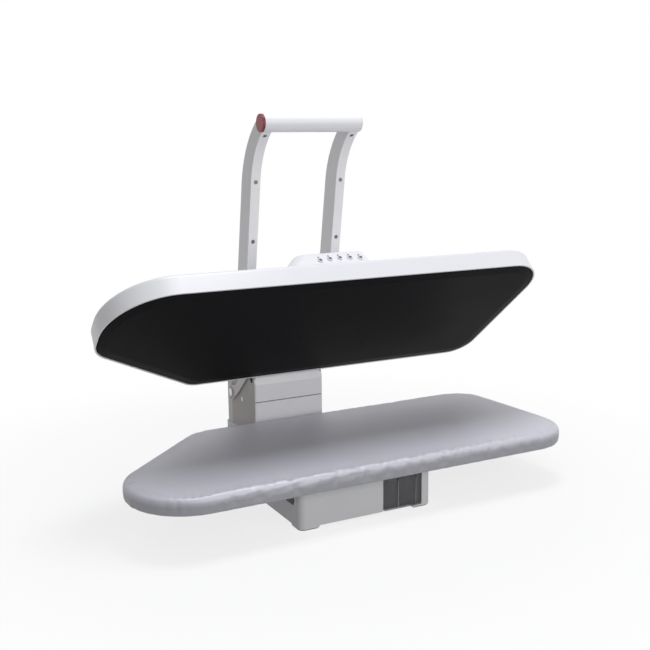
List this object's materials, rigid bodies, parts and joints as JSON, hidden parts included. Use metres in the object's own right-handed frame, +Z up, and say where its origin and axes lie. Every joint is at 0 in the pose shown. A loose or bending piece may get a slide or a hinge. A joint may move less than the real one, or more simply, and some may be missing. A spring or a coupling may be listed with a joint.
{
  "type": "steam ironing press",
  "caption": "Steam ironing press: padded board on a tank base, heated head on a rear hinge, bowed two-arm handle with a grip across the top.",
  "frame": {"origin": "on the floor, under the middle of the whole press as seen from above", "axes": "+X to the right along the board, +Y to the rear, +Z up"},
  "size_m": [0.8211, 0.4856, 0.6643],
  "materials": {
    "white_plastic": "satin white moulded plastic",
    "grey_plastic": "matt warm grey moulded plastic",
    "strip_plastic": "pale satin plastic",
    "arm_plastic": "pale grey satin plastic",
    "red_plastic": "deep red glossy plastic",
    "smoked_plastic": "smoked clear plastic",
    "black_plastic": "black plastic",
    "button_plastic": "grey-blue moulded plastic",
    "soleplate_coat": "black satin non-stick coating on cast aluminium",
    "cast_alloy": "raw cast aluminium",
    "steel": "zinc-plated steel",
    "dark_steel": "dark painted steel",
    "spring_steel": "oiled spring steel",
    "brass": "turned brass",
    "seal_rubber": "black rubber",
    "hose_rubber": "pale silicone rubber",
    "gasket_rubber": "red silicone rubber",
    "cover_cloth": "metallised heat-reflecting cloth",
    "pad_foam": "felt and foam padding",
    "card": "green circuit card",
    "light": "clear red light"
  },
  "bodies": {
    "stand": {"base_casing": "white_plastic", "base_plate": "dark_steel", "base_screws": "steel", "foot_pads": "seal_rubber", "tank_tray": "grey_plastic", "valve_seat": "seal_rubber", "board_panel": "dark_steel", "board_pad": "pad_foam", "board_cover": "cover_cloth", "column_front_lower": "white_plastic", "column_front_upper": "white_plastic", "column_side_left": "grey_plastic", "column_side_right": "grey_plastic", "column_rear_cover": "white_plastic", "panel_screws": "steel", "column_frame": "dark_steel", "hinge_bushes": "brass", "lift_springs": "spring_steel", "pump": "black_plastic", "suction_hose": "hose_rubber", "feed_hose": "hose_rubber", "mains_inlet": "black_plastic"},
    "head": {"hinge_shaft": "steel", "hinge_nuts": "steel", "spring_lever": "dark_steel", "head_arm_left": "dark_steel", "head_arm_right": "dark_steel", "carrier_plate": "dark_steel", "carrier_studs": "steel", "soleplate": "soleplate_coat", "heating_element": "steel", "thermostat": "steel", "chamber_gasket": "gasket_rubber", "steam_chamber_lid": "cast_alloy", "head_shell": "white_plastic", "shell_screws": "steel", "console_housing": "white_plastic", "console_card": "card", "indicator_lights": "light"},
    "handle": {"handle_arm_left": "arm_plastic", "handle_arm_right": "arm_plastic", "handle_strip_left": "strip_plastic", "handle_strip_right": "strip_plastic", "handle_screws": "dark_steel", "handle_core_left": "steel", "handle_core_right": "steel", "pivot_bolts": "steel", "grip_tube": "white_plastic", "steam_switch": "black_plastic", "grip_end_cap": "white_plastic", "button_spring": "spring_steel"},
    "steam_button": {"steam_button": "red_plastic"},
    "tank": {"water_tank": "smoked_plastic", "tank_stopper": "black_plastic", "tank_valve": "brass"},
    "button_1": {"console_button_1": "button_plastic"},
    "button_2": {"console_button_2": "button_plastic"},
    "button_3": {"console_button_3": "button_plastic"},
    "button_4": {"console_button_4": "button_plastic"},
    "button_5": {"console_button_5": "button_plastic"}
  },
  "joints": [
    {"name": "head_tilt", "type": "hinge", "parent": "stand", "child": "head", "pos_m": [-0.00956, 0.19685, 0.1342], "axis": [1, 0, 0], "range_deg": [0, 40.7], "stiffness_Nm_per_rad": 9.85, "springref_deg": -119.18, "deforming": ["lift_springs"]},
    {"name": "handle_swing", "type": "hinge", "parent": "head", "child": "handle", "pos_m": [-0.00956, 0.10325, 0.262], "axis": [1, 0, 0], "range_deg": [0, 31.2]},
    {"name": "steam_push", "type": "slide", "parent": "handle", "child": "steam_button", "axis": [1, 0, 0], "range_m": [0, 0.0015], "stiffness_N_per_m": 400, "springref_m": -0.001, "deforming": ["button_spring"]},
    {"name": "tank_slide", "type": "slide", "parent": "stand", "child": "tank", "axis": [0, -1, 0], "range_m": [0, 0.14]},
    {"name": "button_push_1", "type": "slide", "parent": "head", "child": "button_1", "axis": [0, 0.5291, -0.8485], "range_m": [0, 0.0012], "stiffness_N_per_m": 300, "springref_m": -0.001},
    {"name": "button_push_2", "type": "slide", "parent": "head", "child": "button_2", "axis": [0, 0.5291, -0.8485], "range_m": [0, 0.0012], "stiffness_N_per_m": 300, "springref_m": -0.001},
    {"name": "button_push_3", "type": "slide", "parent": "head", "child": "button_3", "axis": [0, 0.5291, -0.8485], "range_m": [0, 0.0012], "stiffness_N_per_m": 300, "springref_m": -0.001},
    {"name": "button_push_4", "type": "slide", "parent": "head", "child": "button_4", "axis": [0, 0.5291, -0.8485], "range_m": [0, 0.0012], "stiffness_N_per_m": 300, "springref_m": -0.001},
    {"name": "button_push_5", "type": "slide", "parent": "head", "child": "button_5", "axis": [0, 0.5291, -0.8485], "range_m": [0, 0.0012], "stiffness_N_per_m": 300, "springref_m": -0.001}
  ],
  "couplings": [
    {"joint": "handle_swing", "follows": "head_tilt", "ratio": 0.76658}
  ]
}
